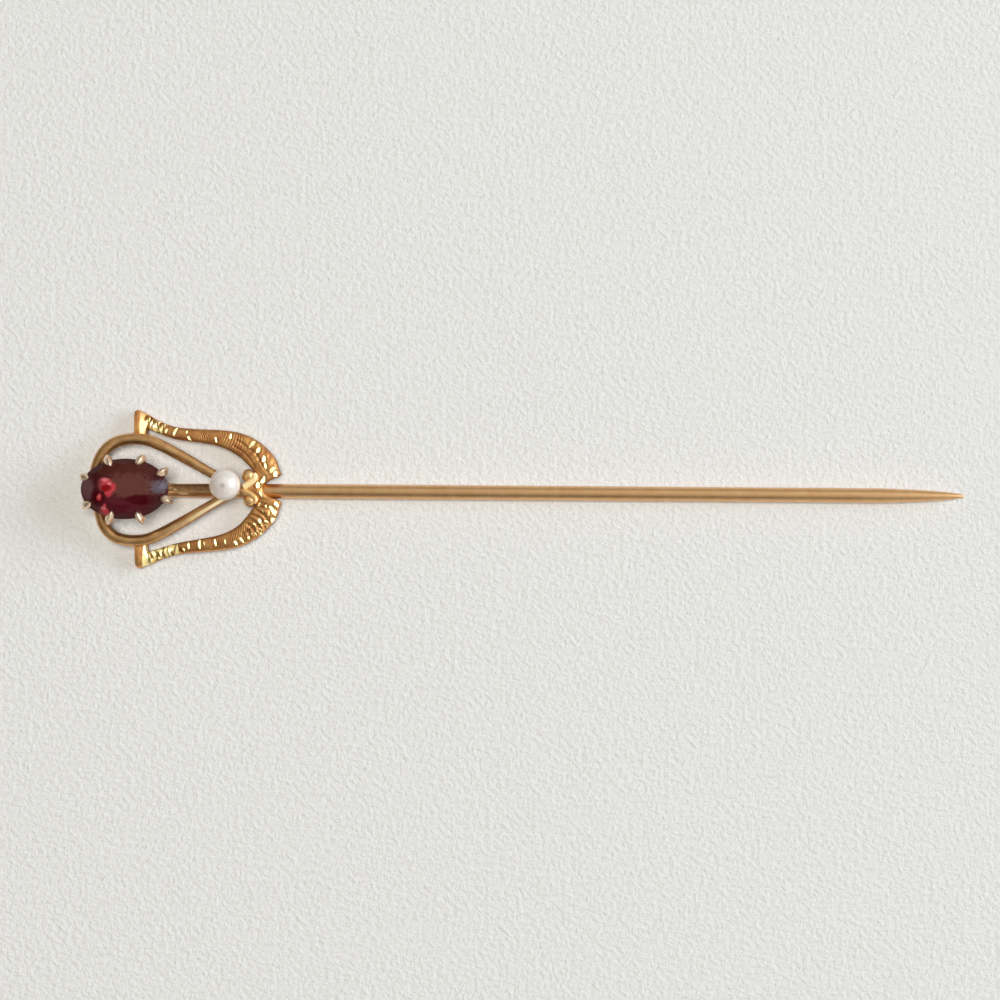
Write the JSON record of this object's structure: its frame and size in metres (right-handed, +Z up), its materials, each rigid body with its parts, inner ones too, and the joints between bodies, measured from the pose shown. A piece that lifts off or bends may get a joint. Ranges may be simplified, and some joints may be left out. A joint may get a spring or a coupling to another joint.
{
  "type": "stick pin",
  "caption": "Gold stick pin with an oval garnet in claws, a pearl, a wire loop and two engraved wings at the head of a straight stem that tapers to a point.",
  "frame": {"origin": "on the surface under the lying pin, in the middle of its length", "axes": "+X along the stem to its point, +Y across the head, +Z up out of the faces of the stones"},
  "size_m": [0.0635, 0.0115, 0.004],
  "materials": {
    "gold": "polished gold, worn satin in the engraving",
    "garnet": "polished cut stone",
    "pearl": "pearl lustre"
  },
  "bodies": {
    "root": {"goldwork": "gold", "garnet": "garnet", "pearl": "pearl"}
  },
  "joints": []
}
